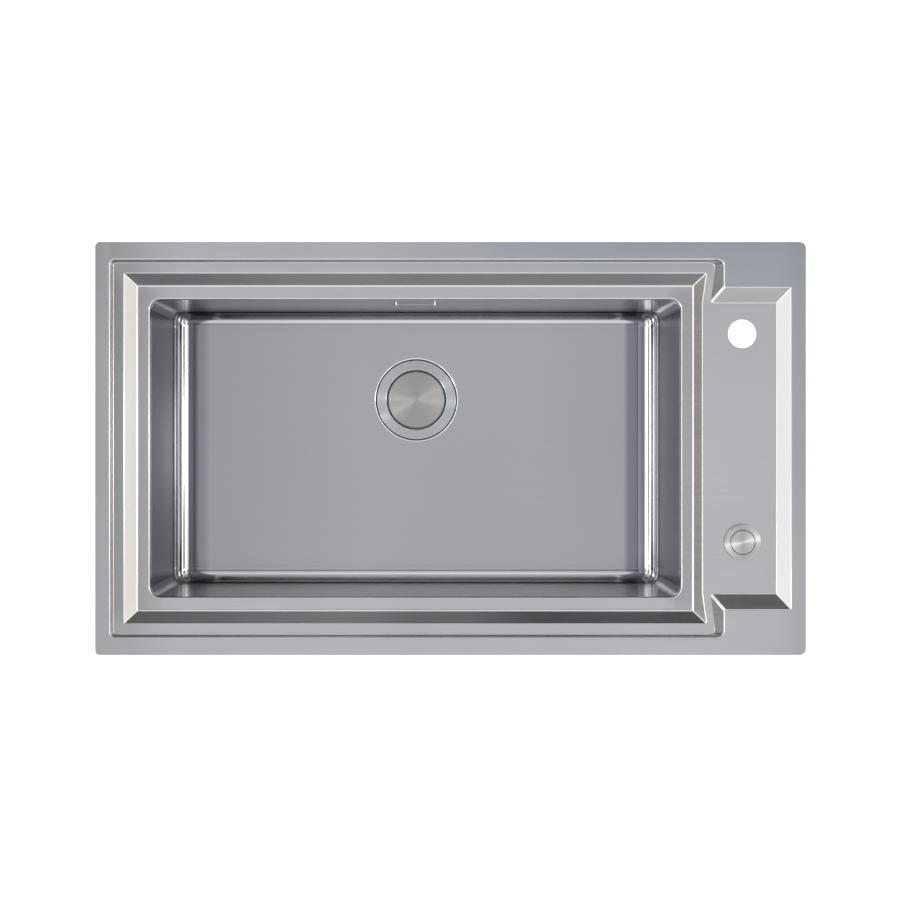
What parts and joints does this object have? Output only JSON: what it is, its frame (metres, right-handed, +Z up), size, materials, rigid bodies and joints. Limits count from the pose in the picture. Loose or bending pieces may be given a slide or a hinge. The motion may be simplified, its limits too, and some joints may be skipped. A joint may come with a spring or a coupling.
{
  "type": "kitchen sink",
  "caption": "Inset stainless kitchen sink with stepped ledges, deep bowl, lowered tap deck with tap hole, push-knob pop-up strainer waste, slotted overflow, cable lift gear and fixing clips.",
  "frame": {"origin": "centre of the rim, on the worktop's top surface (the underside of the sealing tape)", "axes": "+X to the right seen from above, towards the tap deck; +Y to the wall side; +Z up"},
  "size_m": [0.86, 0.5, 0.344],
  "materials": {
    "brushed_top": "brushed",
    "bowl_steel": "brushed",
    "polished_steel": "polished",
    "spun_steel": "spun",
    "zinc_steel": "zinc plated",
    "brass_fitting": "satin",
    "black_rubber": "matt",
    "black_foam": "foam",
    "grey_rubber": "matt",
    "white_plastic": "moulded",
    "grey_plastic": "moulded",
    "black_plastic": "extruded"
  },
  "bodies": {
    "root": {"deck": "brushed_top", "bowl": "bowl_steel", "sealing_tape": "black_foam", "tap_hole_plate": "zinc_steel", "clip_rails": "zinc_steel", "clip_brackets": "zinc_steel", "clip_pivot_pins": "zinc_steel", "floor_sound_pads": "grey_rubber", "wall_sound_pads": "grey_rubber", "waste_flange": "polished_steel", "flange_gasket_upper": "black_rubber", "flange_gasket_lower": "black_rubber", "waste_lock_nut": "grey_plastic", "waste_body": "white_plastic", "waste_body_seal": "black_rubber", "rocker_pivot_pin": "polished_steel", "overflow_cover": "polished_steel", "overflow_screws": "zinc_steel", "overflow_gasket": "black_rubber", "overflow_elbow": "white_plastic", "overflow_hose": "grey_plastic", "hose_clamps": "white_plastic", "knob_bezel": "polished_steel", "knob_gasket": "black_rubber", "knob_washer": "black_rubber", "knob_nut": "grey_plastic", "knob_housing": "grey_plastic", "knob_end_cap": "grey_plastic", "cable_sheath": "black_plastic", "cable_core": "zinc_steel", "cable_gland_nut": "brass_fitting"},
    "button": {"push_button": "spun_steel", "button_stem": "grey_plastic", "return_spring": "zinc_steel"},
    "push_rod": {"cable_push_rod": "polished_steel"},
    "rocker": {"lift_rocker": "grey_plastic"},
    "lifter": {"lift_pin": "polished_steel"},
    "strainer": {"plug_cap": "spun_steel", "plug_stem": "polished_steel", "strainer_basket": "polished_steel", "plug_seal": "black_rubber", "plug_nut": "brass_fitting"},
    "claw_1": {"clip_claw_1": "zinc_steel", "clip_screw_1": "zinc_steel"},
    "claw_2": {"clip_claw_2": "zinc_steel", "clip_screw_2": "zinc_steel"},
    "claw_3": {"clip_claw_3": "zinc_steel", "clip_screw_3": "zinc_steel"},
    "claw_4": {"clip_claw_4": "zinc_steel", "clip_screw_4": "zinc_steel"},
    "claw_5": {"clip_claw_5": "zinc_steel", "clip_screw_5": "zinc_steel"},
    "claw_6": {"clip_claw_6": "zinc_steel", "clip_screw_6": "zinc_steel"},
    "claw_7": {"clip_claw_7": "zinc_steel", "clip_screw_7": "zinc_steel"},
    "claw_8": {"clip_claw_8": "zinc_steel", "clip_screw_8": "zinc_steel"}
  },
  "joints": [
    {"name": "button_push", "type": "slide", "parent": "root", "child": "button", "axis": [0, 0, -1], "range_m": [0, 0.009], "stiffness_N_per_m": 400, "springref_m": -0.004, "deforming": ["return_spring"]},
    {"name": "rod_slide", "type": "slide", "parent": "root", "child": "push_rod", "axis": [-0.9126, 0.4089, 0], "range_m": [0, 0.0063]},
    {"name": "rocker_turn", "type": "hinge", "parent": "root", "child": "rocker", "pos_m": [-0.02455, 0.05622, -0.2836], "axis": [0.4089, 0.9126, 0], "range_deg": [0, 25.9]},
    {"name": "pin_lift", "type": "slide", "parent": "root", "child": "lifter", "axis": [0, 0, 1], "range_m": [0, 0.009]},
    {"name": "strainer_lift_out", "type": "slide", "parent": "lifter", "child": "strainer", "axis": [0, 0, 1], "range_m": [0, 0.06]},
    {"name": "claw_1_swing", "type": "hinge", "parent": "root", "child": "claw_1", "pos_m": [-0.3, -0.2228, -0.046], "axis": [-1, 0, 0], "range_deg": [0, 90]},
    {"name": "claw_2_swing", "type": "hinge", "parent": "root", "child": "claw_2", "pos_m": [-0.04, -0.2228, -0.046], "axis": [-1, 0, 0], "range_deg": [0, 90]},
    {"name": "claw_3_swing", "type": "hinge", "parent": "root", "child": "claw_3", "pos_m": [0.22, -0.2228, -0.046], "axis": [-1, 0, 0], "range_deg": [0, 90]},
    {"name": "claw_4_swing", "type": "hinge", "parent": "root", "child": "claw_4", "pos_m": [-0.3, 0.2228, -0.046], "axis": [1, 0, 0], "range_deg": [0, 90]},
    {"name": "claw_5_swing", "type": "hinge", "parent": "root", "child": "claw_5", "pos_m": [0.04, 0.2228, -0.046], "axis": [1, 0, 0], "range_deg": [0, 90]},
    {"name": "claw_6_swing", "type": "hinge", "parent": "root", "child": "claw_6", "pos_m": [0.22, 0.2228, -0.046], "axis": [1, 0, 0], "range_deg": [0, 90]},
    {"name": "claw_7_swing", "type": "hinge", "parent": "root", "child": "claw_7", "pos_m": [-0.4065, -0.09, -0.046], "axis": [0, 1, 0], "range_deg": [0, 90]},
    {"name": "claw_8_swing", "type": "hinge", "parent": "root", "child": "claw_8", "pos_m": [-0.4065, 0.09, -0.046], "axis": [0, 1, 0], "range_deg": [0, 90]}
  ],
  "couplings": [
    {"joint": "rod_slide", "follows": "button_push", "ratio": 0.7},
    {"joint": "rocker_turn", "follows": "button_push", "rad_per_m": 50},
    {"joint": "pin_lift", "follows": "button_push", "ratio": 1}
  ]
}
